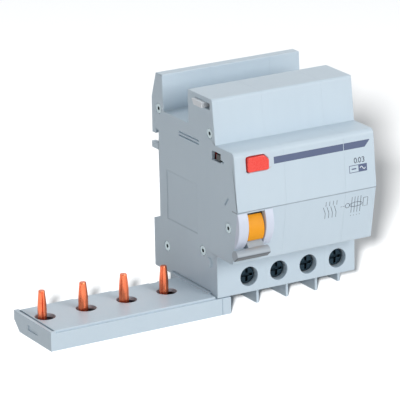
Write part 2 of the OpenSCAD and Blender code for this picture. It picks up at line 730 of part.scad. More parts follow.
// A U of soft iron: core rod, end plate and a bar above the coil
module relay_yoke() color(STEEL) in_block() {
    along_x(coil_x0 + 0.1, relay_mid_y, relay_mid_z, core_rod_r, coil_x1 - coil_x0);
    iron_t = 1.4;
    bottom = relay_z0 + relay_wall + touch_gap;
    top = relay_z1 - relay_wall - touch_gap;
    span([coil_x1, relay_mid_y - 3.6, bottom], [coil_x1 + iron_t, relay_mid_y + 3.6, top]);
    span([coil_x0 + 0.1, relay_mid_y - 2.5, top - iron_t], [coil_x1 + eps, relay_mid_y + 2.5, top]);
}

module relay_plunger() color(STEEL) in_block() {
    along_x(armature_x, relay_mid_y, relay_mid_z, 3.4, 1);
    tip = plate_x + mech_t + 3.7;
    along_x(tip, relay_mid_y, relay_mid_z, plunger_r, armature_x - tip + eps);
}

module relay_wires() color(BRASS) in_block() for (x = [31, 37]) {
    z = 8;
    start = sensor_y - sqrt(sensor_r * sensor_r - (z - sensor_z) * (z - sensor_z));
    along_y(x, relay_y1 + touch_gap, z, 0.5, start - relay_y1 - 0.3);
}

// ---- Test circuit ----
module test_button() color(RED) in_block() {
    difference() {
        button_prism(button_front, flange_y + eps, 0);
        // shallow finger dish in the front
        translate([button_x, button_front - 29.5, button_z]) sphere(r = 30, $fn = 120);
    }
    span([button_x - button_w / 2 - flange_lip, flange_y, button_z - button_h / 2 - flange_lip],
         [button_x + button_w / 2 + flange_lip, flange_y + flange_t, half_nose - wall - slide_gap]);
    along_y(button_x, flange_y + flange_t - eps, button_z, stem_r,
            bridge_rear - bridge_t - flange_y - flange_t);
}

module test_bridge() color(BRASS) in_block()
    along_y(button_x, bridge_rear - bridge_t + touch_gap, button_z, stem_r, bridge_t - touch_gap);

module test_spring() color(STEEL) in_block()
    translate([button_x, flange_y + flange_t + touch_gap, button_z]) rotate([-90, 0, 0])
        coil(stem_r + 0.65, 0.25, 5, seat_rib_y - flange_y - flange_t - 2 * touch_gap);

module test_contacts() color(BRASS) in_block() {
    span([side_wall + touch_gap, contact_y, button_z - 1],
         [button_x - 0.5, contact_y + contact_t, button_z + 1]);
    span([button_x + 0.5, contact_y, button_z - 1],
         [button_x + 2.2, contact_y + contact_t, half_nose - wall - touch_gap]);
}

resistor_y = -33;
resistor_z = 30;
resistor_x0 = 3.6;                       // ends of the resistor's own wires
resistor_x1 = 16.4;
module test_resistor() color("tan") in_block() {
    along_x(6, resistor_y, resistor_z, 1.6, 8);
    along_x(resistor_x0, resistor_y, resistor_z, 0.35, resistor_x1 - resistor_x0);
}

// From a contact strip to the resistor, and from the resistor to the first contact plate
module test_wires() color(RED) in_block() {
    r = 0.45;
    strip = contact_y + contact_t + touch_gap;
    x = button_x + 1.45;
    inner = resistor_y - 3.4;
    side_x = 2.4;                        // the wire runs down along the left wall
    sweep(soft_path([[x, strip, 19.9], [x, inner, 19.9], [x, inner, 26.5], [19.5, inner, resistor_z],
                     [19.5, resistor_y, resistor_z],
                     [resistor_x1 + touch_gap, resistor_y, resistor_z]], 0.7),
          r, off_axis, 6);
    sweep(soft_path([[resistor_x0 - touch_gap, resistor_y, resistor_z],
                     [side_x, resistor_y, resistor_z], [side_x, inner, 27], [side_x, inner, 23],
                     [side_x, -41, 18], [side_x, -41, -19], [terminal_x(0), -30, -19],
                     [terminal_x(0), -plate_front - 0.5, -22.6]], 0.5),
          r, off_axis, 6);
}

// ---- Reset lever ----
// Places on the lever are drawn with its stem pointing to -Y, then turned down about the axle
module at_lever(angle) {
    in_block() translate([lever_mid, axle_y, lever_z]) rotate([angle, 0, 0]) children();
}
half_lever = lever_w / 2;
flag_r0 = 5;
flag_gap_angle = asin(stem_t / 2 / flag_r0) + 1.5;
bar_r = 2.2;
bar_flat = 0.6;                          // depth of the flat on the cross bar
flare_start = 9.4;                       // the stem flares from this far out of the axle
flare_half = half_lever + 1.1;
cam_reach = 4.2;
cam_r = 2.3;
cam_end = link_x + link_t - 0.2 - lever_mid;
module reset_lever() color(GREY) at_lever(stem_down) difference() {
    union() {
        along_x(-half_lever, 0, 0, flag_r0, lever_w);
        // stem, flared towards the cross bar
        translate([0, 0, -stem_t / 2]) linear_extrude(stem_t) polygon([
            [-half_lever, 0], [-half_lever, -flare_start], [-flare_half, -lever_reach],
            [flare_half, -lever_reach], [half_lever, -flare_start], [half_lever, 0]]);
        // drum's lower part, seen when the lever is up
        difference() {
            slab(concat([[0, 0]], arc([0, 0], drum_r, 180 + flag_gap_angle, 180 + 98, 20)),
                 -half_lever, half_lever);
            along_x(-half_lever - 1, 0, 0, flag_r0 - 1, lever_w + 2);
        }
        // cross bar, flat along its outer side
        difference() {
            along_x(-lever_mid - 1.6, -lever_reach, 0, bar_r, bar_len);
            span([-20, -lever_reach - 5, -5], [20, -lever_reach - bar_r + bar_flat, 5]);
        }
        // cam that pushes the trip link back
        along_x(half_lever - eps, 0, 0, 2.6, cam_end - half_lever);
        rotate([-stem_down, 0, 0]) {
            along_x(half_lever - eps, 0, cam_reach, cam_r, cam_end - half_lever);
            span([half_lever - eps, -1.6, 0], [cam_end, 1.6, cam_reach]);
        }
    }
    along_x(-half_lever - 1, 0, 0, rivet_r + pivot_gap, lever_w + 10);
}

// The orange part of the drum, above the stem
module trip_flag() color(ORANGE) at_lever(stem_down)
    slab(concat(arc([0, 0], drum_r, 180 - flag_gap_angle, 180 - 100, 20),
                arc([0, 0], flag_r0 + touch_gap, 180 - 100, 180 - flag_gap_angle, 20)),
         -half_lever, half_lever);

module lever_spring() color(STEEL) in_block()
    translate([side_wall + touch_gap, axle_y, lever_z]) rotate([0, 90, 0])
        coil(rivet_r + 0.9, 0.3, 4, lever_mid - half_lever - side_wall - 0.3);

plate_rear = 36.7;
tab_t = 0.8;
module mechanism_plate() color(STEEL) in_block() {
    difference() {
        span([plate_x, -55, -15.6 - post_r], [plate_x + mech_t, -plate_rear, 13]);
        along_x(plate_x - 1, axle_y, lever_z, rivet_r + touch_gap, mech_t + 2);
        // slot for the trip link's arm
        span([plate_x - 1, -48.3, 2], [plate_x + mech_t + 1, -42.4, 6]);
    }
    // bent tab behind the link's spring
    span([link_x - 0.6, -plate_rear - tab_t, -5], [plate_x + eps, -plate_rear, -1]);
}

module trip_link() color(DARK) in_block() {
    difference() {
        span([link_x, -49.4, post_zs[1] - 3], [link_x + link_t, -link_rear, 20.5]);
        span([link_x - 1, -50, -12.5], [link_x + link_t + 1, -link_front, 4.5]);
        span([link_x - 1, -50, 6.8], [link_x + link_t + 1, -link_front, 21]);
        for (z = post_zs)
            span([link_x - 1, post_y - post_r - link_travel - 0.2, z - post_r - 0.1],
                 [link_x + link_t + 1, post_y + post_r + 0.2, z + post_r + 0.1]);
    }
    // arm whose end shows in the left face
    span([0.3, -peg_front, peg_z0], [link_x + eps, -peg_rear, peg_z1]);
    // arm that meets the relay's plunger, clear of it by 0.3
    arm_end = plate_x + mech_t + 3.4;
    arm_y = relay_mid_y + 2.1;
    span([link_x + link_t - eps, arm_y, 2.8], [arm_end, arm_y + 2, 5.2]);
    span([plate_x + mech_t + 1, relay_mid_y - 1, 2.8], [arm_end, arm_y + eps, 5.2]);
}

module link_spring() color(STEEL) in_block()
    translate([link_x + link_t / 2, -link_rear + touch_gap, -3]) rotate([-90, 0, 0])
        coil(1.1, 0.2, 5, link_rear - plate_rear - tab_t - 2 * touch_gap);

// ---- Catches ----
module coupling_latch() color(WHITE) in_block() difference() {
    slab([[latch_y0, latch_z0], [latch_y1 - 1.6, latch_z0], [latch_y1, latch_z1], [latch_y0, latch_z1]],
         -latch_proud, latch_len);
    // bevel of the nose that meets the breaker
    translate([-latch_proud, 0, latch_z0]) rotate([0, -35, 0]) span([-5, -60, -5], [0, 0, 5]);
}

module latch_spring() color(STEEL) in_block()
    translate([latch_len + touch_gap, (latch_y0 + latch_y1) / 2, (latch_z0 + latch_z1) / 2])
        rotate([0, 90, 0])
        coil(0.85, 0.2, 6, latch_spring_len - 2 * touch_gap);

module rail_clip() color(DARK) in_block() {
    half = clip_w / 2;
    neck = clip_neck_w / 2;
    flange_y1 = foot_depth - clip_lip_t - 0.2;
    difference() {
        union() {
            span([clip_x - neck, clip_y0, clip_bottom], [clip_x + neck, clip_y1, clip_top]);
            span([clip_x - half, clip_y0, -37.5], [clip_x + half, flange_y1, -seat_half - 0.3]);
        }
        span([clip_x - clip_window[0], clip_y0 - 1, clip_window[1]],
             [clip_x + clip_window[0], clip_y1 + 1, clip_window[2]]);
        // bevel that lets the clip snap over the rail
        translate([0, clip_y1, clip_top - 1.6]) rotate([40, 0, 0])
            span([clip_x - 10, 0, -4], [clip_x + 10, 4, 6]);
        // screwdriver slot in the pull tab
        span([clip_x - 3, clip_y0 - 1, clip_bottom + 0.9],
             [clip_x + 3, clip_y1 + 1, clip_bottom + 2.1]);
    }
}

module clip_spring() color(STEEL) in_block()
    translate([clip_x, (clip_y0 + clip_y1) / 2 - 0.1, nub_z1 + touch_gap])
        coil(0.8, 0.2, 7, clip_window[2] - nub_z1 - 2 * touch_gap);

left_shell();
middle_shell();
right_shell();
rivets();
wing_tray();
wing_cover();
for (i = POLES) {
    prong(i);
    lead(i);
    terminal_screw(i);
    clamp_cage(i);
    contact_plate(i);
}
sensor_core();
sensor_winding();
sensor_case();
sensor_lid();
relay_case();
relay_lid();
relay_coil();
relay_yoke();
relay_plunger();
relay_wires();
test_button();
test_bridge();
test_spring();
test_contacts();
test_resistor();
test_wires();
reset_lever();
trip_flag();
lever_spring();
mechanism_plate();
trip_link();
link_spring();
coupling_latch();
latch_spring();
rail_clip();
clip_spring();
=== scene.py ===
# %% [markdown]
# # A residual current block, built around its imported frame
# The block adds earth-leakage protection to a four-pole breaker. The construction is already there: the frame
# brings every CAD piece at its real size. This notebook gives the pieces their looks: edges that have the
# small radius of a mould, prints on the front, rolled copper prongs, and materials with grain.

# %% Load the frame
import json
import math

import bmesh
import bpy
import numpy as np
from mathutils import Matrix, Vector


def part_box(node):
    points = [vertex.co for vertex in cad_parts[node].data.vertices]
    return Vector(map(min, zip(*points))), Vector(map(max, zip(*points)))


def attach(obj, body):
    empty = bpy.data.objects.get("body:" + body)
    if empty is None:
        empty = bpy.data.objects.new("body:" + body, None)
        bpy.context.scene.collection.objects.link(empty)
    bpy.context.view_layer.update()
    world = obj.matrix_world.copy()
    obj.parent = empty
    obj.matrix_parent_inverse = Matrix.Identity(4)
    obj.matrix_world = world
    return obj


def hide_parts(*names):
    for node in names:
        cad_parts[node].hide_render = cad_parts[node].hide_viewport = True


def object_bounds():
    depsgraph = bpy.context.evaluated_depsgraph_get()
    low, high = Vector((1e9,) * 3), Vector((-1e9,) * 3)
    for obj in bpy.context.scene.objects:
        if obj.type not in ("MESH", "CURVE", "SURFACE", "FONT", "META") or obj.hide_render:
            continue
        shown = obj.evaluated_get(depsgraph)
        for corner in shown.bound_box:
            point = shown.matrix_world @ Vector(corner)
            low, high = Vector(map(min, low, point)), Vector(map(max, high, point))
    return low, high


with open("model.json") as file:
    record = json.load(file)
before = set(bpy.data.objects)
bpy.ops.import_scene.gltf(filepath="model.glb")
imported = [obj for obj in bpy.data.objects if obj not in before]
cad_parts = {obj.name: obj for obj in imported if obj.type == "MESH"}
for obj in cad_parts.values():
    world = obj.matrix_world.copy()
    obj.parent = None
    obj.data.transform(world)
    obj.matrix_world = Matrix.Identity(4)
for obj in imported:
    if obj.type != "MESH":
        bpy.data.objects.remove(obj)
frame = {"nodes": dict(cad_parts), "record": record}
cad_low, cad_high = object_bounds()

# %% [markdown]
# ## Sizes that the pieces share
# A mould is drawn in millimetres and Blender works in metres, so one factor does the change. Places on the
# block come from the boxes of its CAD nodes, and a new piece then follows the frame if the frame changes.

# %% Shared sizes
MM = 0.001
BLOCK_WIDTH = 63.0 * MM
middle_low, middle_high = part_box("middle_shell")
right_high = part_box("right_shell")[1]

block_left = right_high[0] - BLOCK_WIDTH
crease_y = middle_low[1]
crease_z = -0.45 * MM
nose_top = 22.4 * MM
nose_bottom = -22.4 * MM
top_back = 2.2 * MM
bottom_back = 4.1 * MM
print("block's left face at x =", round(block_left / MM, 2), "mm")
print("crease at y =", round(crease_y / MM, 2), "mm")

# %% [markdown]
# ## The camera
# A long lens far away keeps the block's edges almost parallel, as in a catalogue. The camera is placed by
# angles round a target, with its axes worked out as vectors, because that keeps every value readable.

# %% Place the camera
azimuth = math.radians(-29.95)
elevation = math.radians(17.74)
roll = math.radians(-1.03)
distance = 1.309
target = Vector((block_left + 4.5 * MM, -24.0 * MM, -5.5 * MM))

back = Vector((
    math.sin(azimuth) * math.cos(elevation),
    -math.cos(azimuth) * math.cos(elevation),
    math.sin(elevation)))
level_right = Vector((math.cos(azimuth), math.sin(azimuth), 0.0))
level_up = back.cross(level_right)
right = math.cos(roll) * level_right + math.sin(roll) * level_up
up = back.cross(right)

camera_data = bpy.data.cameras.new("camera")
camera_data.lens = 302.5
camera_data.sensor_width = 36.0
camera_data.clip_start = 0.05
camera_data.clip_end = 20.0
camera = bpy.data.objects.new("camera", camera_data)
bpy.context.scene.collection.objects.link(camera)
place = target + back * distance
camera.matrix_world = Matrix.Translation(place) @ Matrix((right, up, back)).transposed().to_4x4()
bpy.context.scene.camera = camera
print("camera at", [round(v, 3) for v in place])

# %% [markdown]
# ## The light
# A catalogue set is a pale room with one large soft lamp in front, a little to the right, so that the left
# side stays in shade. The world gives the even part. Camera, glossy and transmission rays see it as white, so
# that the background is white and metal reflects a white room.
#
# A weak lamp above lifts the top faces. These two leave the floor out, and two further lamps light only the
# floor: one from beside the camera and one from behind on the left. They draw the grey shadow that lies to
# the right of the block and below it.

# %% Light the set
scene = bpy.context.scene
scene.view_settings.view_transform = "Standard"

world = bpy.data.worlds.new("studio")
scene.world = world
world.use_nodes = True
nodes = world.node_tree.nodes
links = world.node_tree.links
nodes.clear()
room = nodes.new("ShaderNodeBackground")
room.inputs["Color"].default_value = (0.93, 0.97, 1.0, 1.0)
room.inputs["Strength"].default_value = 0.39
white = nodes.new("ShaderNodeBackground")
white.inputs["Color"].default_value = (1.0, 1.0, 1.0, 1.0)
white.inputs["Strength"].default_value = 1.0
ray = nodes.new("ShaderNodeLightPath")
seen = nodes.new("ShaderNodeMath")
seen.operation = "MAXIMUM"
seen_or_clear = nodes.new("ShaderNodeMath")
seen_or_clear.operation = "MAXIMUM"
choose = nodes.new("ShaderNodeMixShader")
output = nodes.new("ShaderNodeOutputWorld")
links.new(ray.outputs["Is Camera Ray"], seen.inputs[0])
links.new(ray.outputs["Is Glossy Ray"], seen.inputs[1])
links.new(seen.outputs[0], seen_or_clear.inputs[0])
links.new(ray.outputs["Is Transmission Ray"], seen_or_clear.inputs[1])
links.new(seen_or_clear.outputs[0], choose.inputs["Fac"])
links.new(room.outputs[0], choose.inputs[1])
links.new(white.outputs[0], choose.inputs[2])
links.new(choose.outputs[0], output.inputs["Surface"])


def soft_lamp(name, azimuth_deg, elevation_deg, distance_m, size_m, watts):
    """A square area lamp on a sphere round the block, turned to face its middle."""
    a = math.radians(azimuth_deg)
    e = math.radians(elevation_deg)
    away = Vector((math.sin(a) * math.cos(e), -math.cos(a) * math.cos(e), math.sin(e)))
    data = bpy.data.lights.new(name, "AREA")
    data.size = size_m
    data.energy = watts
    lamp = bpy.data.objects.new(name, data)
    lamp.location = away * distance_m
    lamp.rotation_euler = away.to_track_quat("Z", "Y").to_euler()
    scene.collection.objects.link(lamp)
    return lamp


front_lamp = soft_lamp("front_lamp", 14, 22, 1.5, 0.7, 12.2)
top_lamp = soft_lamp("top_lamp", 160, 72, 1.5, 0.6, 4.8)
floor_lamps = [
    soft_lamp("floor_lamp_front", -35.5, 20, 3.0, 0.26, 235.0),
    soft_lamp("floor_lamp_back", -150, 58, 3.0, 0.3, 4.0)]

# %% [markdown]
# ## The floor
# The block stands on its wing and its fins, so the floor lies at the lowest point of the frame. It is a
# single large sheet that takes the soft shadow. It is white for camera and glossy rays. For rays that bounce
# off it towards the block it is mid grey, because a white floor would light the shaded side too much.

# %% Lay the floor
FLOOR_HALF = 4.0
BOUNCED_TONE = 0.38
SEEN_TONE = 0.94
floor_mesh = bpy.data.meshes.new("floor")
corners = np.array([(-1, -1), (1, -1), (1, 1), (-1, 1)]) * FLOOR_HALF
floor_mesh.from_pydata([(x, y, cad_low[2]) for x, y in corners], [], [(0, 1, 2, 3)])
floor = bpy.data.objects.new("floor", floor_mesh)
scene.collection.objects.link(floor)
floor_material = bpy.data.materials.new("paper_floor")
floor_material.use_nodes = True
paper_tree = floor_material.node_tree
paper = paper_tree.nodes["Principled BSDF"]
paper_ray = paper_tree.nodes.new("ShaderNodeLightPath")
paper_seen = paper_tree.nodes.new("ShaderNodeMath")
paper_seen.operation = "MAXIMUM"
paper_tone = paper_tree.nodes.new("ShaderNodeMapRange")
paper_tone.inputs["To Min"].default_value = BOUNCED_TONE
paper_tone.inputs["To Max"].default_value = SEEN_TONE
paper_tree.links.new(paper_ray.outputs["Is Camera Ray"], paper_seen.inputs[0])
paper_tree.links.new(paper_ray.outputs["Is Glossy Ray"], paper_seen.inputs[1])
paper_tree.links.new(paper_seen.outputs[0], paper_tone.inputs["Value"])
paper_tree.links.new(paper_tone.outputs["Result"], paper.inputs["Base Color"])
paper.inputs["Roughness"].default_value = 0.9
paper.inputs["Specular IOR Level"].default_value = 0.1
floor_mesh.materials.append(floor_material)

only_floor = bpy.data.collections.new("lit_by_floor_lamps")
only_floor.objects.link(floor)
for lamp in floor_lamps:
    lamp.light_linking.receiver_collection = only_floor
all_but_floor = bpy.data.collections.new("not_lit_by_block_lamps")
all_but_floor.objects.link(floor)
all_but_floor.collection_objects[0].light_linking.link_state = "EXCLUDE"
for lamp in (front_lamp, top_lamp):
    lamp.light_linking.receiver_collection = all_but_floor
print("floor at z =", round(cad_low[2] / MM, 2), "mm")

# %% [markdown]
# ## Small helpers for node trees
# Every finish below is a tree of the same few nodes: a sum, a mix of two colours, a noise, a place on the
# piece. Making them by hand takes four lines each time, so a short function makes each kind and gives back
# the socket to link from. All of them read Object coordinates, so that paint moves with its piece.

# %% Helpers for node trees
def new_group(name, inputs, outputs):
    """A shader node group with named sockets; each input is (name, kind, default)."""
    group = bpy.data.node_groups.new(name, "ShaderNodeTree")
    for socket_name, kind, default in inputs:
        socket = group.interface.new_socket(socket_name, in_out="INPUT", socket_type=kind)
        socket.default_value = default
    for socket_name, kind in outputs:
        group.interface.new_socket(socket_name, in_out="OUTPUT", socket_type=kind)
    entry = group.nodes.new("NodeGroupInput")
    leave = group.nodes.new("NodeGroupOutput")
    return group, entry, leave


def math_node(tree, operation, a, b=None, c=None):
    """A Math node whose inputs are numbers or sockets; gives back its output socket."""
    node = tree.nodes.new("ShaderNodeMath")
    node.operation = operation
    for index, value in enumerate((a, b, c)):
        if value is None:
            continue
        if isinstance(value, bpy.types.NodeSocket):
            tree.links.new(value, node.inputs[index])
        else:
            node.inputs[index].default_value = value
    return node.outputs[0]


def mix_colour(tree, factor, a, b):
    """A Mix node for colours; factor, a and b are values or sockets."""
    node = tree.nodes.new("ShaderNodeMix")
    node.data_type = "RGBA"
    for name, value in (("Factor", factor), ("A", a), ("B", b)):
        kind = "VALUE" if name == "Factor" else "RGBA"
        target_socket = [s for s in node.inputs if s.name == name and s.type == kind][0]
        if isinstance(value, bpy.types.NodeSocket):
            tree.links.new(value, target_socket)
        else:
            target_socket.default_value = value
    return [s for s in node.outputs if s.type == "RGBA"][0]


def object_noise(tree, scale, detail, stretch=(1, 1, 1)):
    """Noise on Object coordinates, optionally stretched along the axes; gives back its value socket."""
    where = tree.nodes.new("ShaderNodeTexCoord")
    mapping = tree.nodes.new("ShaderNodeMapping")
    mapping.inputs["Scale"].default_value = stretch
    noise = tree.nodes.new("ShaderNodeTexNoise")
    noise.inputs["Scale"].default_value = scale
    noise.inputs["Detail"].default_value = detail
    tree.links.new(where.outputs["Object"], mapping.inputs["Vector"])
    tree.links.new(mapping.outputs["Vector"], noise.inputs["Vector"])
    return noise.outputs[0]


def object_place(tree):
    """A Separate XYZ node on Object coordinates, whose outputs are the place on the piece along each axis."""
    where = tree.nodes.new("ShaderNodeTexCoord")
    split = tree.nodes.new("ShaderNodeSeparateXYZ")
    tree.links.new(where.outputs["Object"], split.inputs[0])
    return split


print("node helpers ready")

# %% [markdown]
# ## Grain that all the plastics share
# Moulded plastic is never one flat colour: the pigment clouds a little over centimetres, and the tool leaves
# a spark-eroded grain of a few tenths of a millimetre. Both come from noise on Object coordinates, in one
# node group. The group gives out a colour, a roughness and a normal, and each plastic sets its own amounts.

# %% Build the plastic group
BUMP_DEPTH = 0.03 * MM
plastic_group, entry, leave = new_group(
    "moulded_grain",
    [("Color", "NodeSocketColor", (0.8, 0.8, 0.8, 1)), ("Shade", "NodeSocketColor", (0.6, 0.6, 0.6, 1)),
     ("Cloud", "NodeSocketFloat", 0.2), ("Roughness", "NodeSocketFloat", 0.45),
     ("Grain", "NodeSocketFloat", 0.1)],
    [("Color", "NodeSocketColor"), ("Roughness", "NodeSocketFloat"), ("Normal", "NodeSocketVector")])
cloud = object_noise(plastic_group, 45.0, 3.0)
grain = object_noise(plastic_group, 2600.0, 2.0)
flow = object_noise(plastic_group, 260.0, 2.0, (1.0, 1.0, 0.15))
clouding = math_node(plastic_group, "MULTIPLY", cloud, entry.outputs["Cloud"])
half_cloud = math_node(plastic_group, "MULTIPLY", entry.outputs["Cloud"], 0.5)
streaks = math_node(plastic_group, "MULTIPLY", flow, half_cloud)
amount = math_node(plastic_group, "ADD", clouding, streaks)
tinted = mix_colour(plastic_group, amount, entry.outputs["Color"], entry.outputs["Shade"])
plastic_group.links.new(tinted, leave.inputs["Color"])
least_rough = math_node(plastic_group, "SUBTRACT", entry.outputs["Roughness"], 0.08)
rough = math_node(plastic_group, "MULTIPLY_ADD", grain, 0.16, least_rough)
plastic_group.links.new(rough, leave.inputs["Roughness"])
bump = plastic_group.nodes.new("ShaderNodeBump")
bump.inputs["Distance"].default_value = BUMP_DEPTH
plastic_group.links.new(entry.outputs["Grain"], bump.inputs["Strength"])
plastic_group.links.new(grain, bump.inputs["Height"])
plastic_group.links.new(bump.outputs["Normal"], leave.inputs["Normal"])
print("group:", plastic_group.name, "nodes:", len(plastic_group.nodes))

# %% [markdown]
# ## Streaks that all the metals share
# Drawn wire, stamped sheet and turned screws all show fine parallel lines with a patchy tarnish over them.
# The second group stretches one noise along an axis for the lines and adds a slow one for the tarnish.

# %% Build the metal group
metal_group, entry, leave = new_group(
    "drawn_metal",
    [("Color", "NodeSocketColor", (0.8, 0.8, 0.8, 1)), ("Tarnish", "NodeSocketColor", (0.4, 0.4, 0.4, 1)),
     ("Patch", "NodeSocketFloat", 0.4), ("Roughness", "NodeSocketFloat", 0.3),
     ("Lines", "NodeSocketFloat", 0.15)],
    [("Color", "NodeSocketColor"), ("Roughness", "NodeSocketFloat"), ("Normal", "NodeSocketVector")])
patch = object_noise(metal_group, 320.0, 4.0)
lines = object_noise(metal_group, 1800.0, 2.0, (1.0, 1.0, 0.06))
sharper_patch = math_node(metal_group, "POWER", patch, 2.0)
dulled = math_node(metal_group, "MULTIPLY", sharper_patch, entry.outputs["Patch"])
metal_colour = mix_colour(metal_group, dulled, entry.outputs["Color"], entry.outputs["Tarnish"])
metal_group.links.new(metal_colour, leave.inputs["Color"])
least_rough = math_node(metal_group, "SUBTRACT", entry.outputs["Roughness"], 0.10)
metal_rough = math_node(metal_group, "MULTIPLY_ADD", lines, 0.20, least_rough)
metal_group.links.new(metal_rough, leave.inputs["Roughness"])
bump = metal_group.nodes.new("ShaderNodeBump")
bump.inputs["Distance"].default_value = BUMP_DEPTH
metal_group.links.new(entry.outputs["Lines"], bump.inputs["Strength"])
metal_group.links.new(lines, bump.inputs["Height"])
metal_group.links.new(bump.outputs["Normal"], leave.inputs["Normal"])
print("group:", metal_group.name, "nodes:", len(metal_group.nodes))

# %% [markdown]
# ## Materials
# A material here is a Principled shader fed by one of the two groups. Colours are written as the eye sees
# them, from 0 to 255, and turned into linear light by the usual sRGB curve.

# %% Material helpers
def srgb(r, g, b):
    """Linear colour of an 8-bit sRGB one: ((c + 0.055) / 1.055) ** 2.4, or c / 12.92 where it is dark."""
    c = np.array([r, g, b]) / 255.0
    linear = np.where(c <= 0.04045, c / 12.92, ((c + 0.055) / 1.055) ** 2.4)
    return (*[float(v) for v in linear], 1.0)


def grained(name, group, values, metallic=0.0, coat=0.0, subsurface=0.0):
    """A Principled material whose colour, roughness and normal come from a group set to these values."""
    material = bpy.data.materials.new(name)
    material.use_nodes = True
    tree = material.node_tree
    shader = tree.nodes["Principled BSDF"]
    shader.inputs["Metallic"].default_value = metallic
    shader.inputs["Coat Weight"].default_value = coat
    shader.inputs["Coat Roughness"].default_value = 0.15
    shader.inputs["Subsurface Weight"].default_value = subsurface
    shader.inputs["Subsurface Radius"].default_value = (0.6, 0.6, 0.6)
    shader.inputs["Subsurface Scale"].default_value = 0.0008
    effect = tree.nodes.new("ShaderNodeGroup")
    effect.node_tree = group
    for key, value in values.items():
        effect.inputs[key].default_value = value
    tree.links.new(effect.outputs["Color"], shader.inputs["Base Color"])
    tree.links.new(effect.outputs["Roughness"], shader.inputs["Roughness"])
    tree.links.new(effect.outputs["Normal"], shader.inputs["Normal"])
    return material


def plastic(name, colour, shade, cloud=0.35, roughness=0.45, grain=0.12, coat=0.0, subsurface=0.0):
    """Moulded plastic of two near colours; cloud mixes them, grain sets the bump."""
    values = {
        "Color": srgb(*colour), "Shade": srgb(*shade),
        "Cloud": cloud, "Roughness": roughness, "Grain": grain}
    return grained(name, plastic_group, values, 0.0, coat, subsurface)


def metal(name, colour, tarnish, patch=0.5, roughness=0.3, lines=0.2):
    """Bare metal with a tarnish colour in patches and fine lines along Z."""
    values = {
        "Color": srgb(*colour), "Tarnish": srgb(*tarnish),
        "Patch": patch, "Roughness": roughness, "Lines": lines}
    return grained(name, metal_group, values, 1.0)


print("mid grey in linear light:", round(srgb(128, 128, 128)[0], 3))


# %% [markdown]
# ## One finish for each slot of the record
# The record names a slot for each node, such as the casing's pale blue-grey or the red of the button. A table
# from slot to material keeps the two together, and a loop then dresses every CAD node.

# %% Make and hand out the finishes
finishes = {
    "casing": plastic("casing_blue_grey", (205, 219, 229), (188, 204, 216), 0.40, 0.42, 0.14, 0.0, 0.15),
    "white_plastic": plastic("white_inner_plastic", (238, 241, 244), (222, 227, 232), 0.35, 0.4, 0.1),
    "red_plastic": plastic("red_button", (250, 56, 36), (228, 38, 24), 0.35, 0.28, 0.05, 0.5, 0.1),
    "orange_plastic": plastic("orange_flag", (246, 166, 0), (238, 148, 0), 0.4, 0.6, 0.08),
    "grey_plastic": plastic("grey_lever", (176, 185, 193), (156, 166, 175), 0.4, 0.4, 0.12),
    "black_plastic": plastic("black_plastic", (34, 36, 38), (22, 23, 25), 0.5, 0.45, 0.15),
    "resistor_body": plastic("resistor_lacquer", (208, 184, 140), (182, 156, 112), 0.5, 0.3, 0.05, 0.4),
    "red_sleeve": plastic("red_sleeve", (176, 28, 22), (140, 18, 16), 0.4, 0.4, 0.1),
    "sleeve_1": plastic("brown_sleeve", (118, 76, 44), (92, 56, 32), 0.4, 0.4, 0.1),
    "sleeve_2": plastic("black_sleeve", (40, 40, 42), (26, 26, 28), 0.4, 0.4, 0.1),
    "sleeve_3": plastic("grey_sleeve", (140, 143, 147), (116, 119, 124), 0.4, 0.4, 0.1),
    "sleeve_4": plastic("blue_sleeve", (36, 78, 150), (26, 58, 118), 0.4, 0.4, 0.1),
    "rivet_metal": metal("zinc_plate", (176, 190, 194), (92, 104, 110), 0.7, 0.34, 0.2),
    "copper": metal("bare_copper", (232, 128, 90), (164, 66, 42), 0.7, 0.26, 0.3),
    "contact_brass": metal("spring_brass", (208, 174, 104), (140, 106, 58), 0.5, 0.3, 0.2),
}
slot_of = {part["node"]: part["material_slot"] for part in frame["record"]["subparts"]}


def dress(piece, material):
    """Puts one material on the whole of a piece."""
    piece.data.materials.clear()
    piece.data.materials.append(material)


for node_name, node_object in frame["nodes"].items():
    dress(node_object, finishes[slot_of[node_name]])
print("slots dressed:", sorted(set(slot_of.values())))

# %% [markdown]
# ## Dark screws and painted shade on the lever
# The terminal screws sit deep in their holes and read as dark, with only a glint on the slot's edges. They
# get a near-black steel, darker than the other hardware, whose colour also paints the shade deep in the
# holes.
# The far side of the lever's cross bar, away from the axle, is darkened as painted shade for its shaded
# underside. It is painted by place: everything beyond a reach along the stem.

# %% Darken the screws and paint shade on the lever's bar
def paint_bar_shade(material, axle_y_mm, axle_z_mm, stem_down_deg, reach_mm, soft_mm):
    """Paints shade on what lies further than reach from the axle along the stem: (position - axle) . stem -
    reach.
    """
    tree = material.node_tree
    place_on = object_place(tree)
    down = math.radians(stem_down_deg)
    from_axle_y = math_node(tree, "SUBTRACT", place_on.outputs["Y"], axle_y_mm * MM)
    from_axle_z = math_node(tree, "SUBTRACT", place_on.outputs["Z"], axle_z_mm * MM)
    along_y = math_node(tree, "MULTIPLY", from_axle_y, -math.cos(down))
    along = math_node(tree, "MULTIPLY_ADD", from_axle_z, -math.sin(down), along_y)
    scale = tree.nodes.new("ShaderNodeMapRange")
    scale.inputs["From Min"].default_value = (reach_mm - soft_mm) * MM
    scale.inputs["From Max"].default_value = reach_mm * MM
    scale.inputs["To Max"].default_value = 0.92
    tree.links.new(along, scale.inputs["Value"])
    shader = tree.nodes["Principled BSDF"]
    plain = shader.inputs["Base Color"].links[0].from_socket
    # painted shade: the colour laid on the far side of the lever's cross bar
    bar_shade_colour = srgb(30, 36, 44)
    tree.links.new(mix_colour(tree, scale.outputs["Result"], plain, bar_shade_colour), shader.inputs["Base Color"])


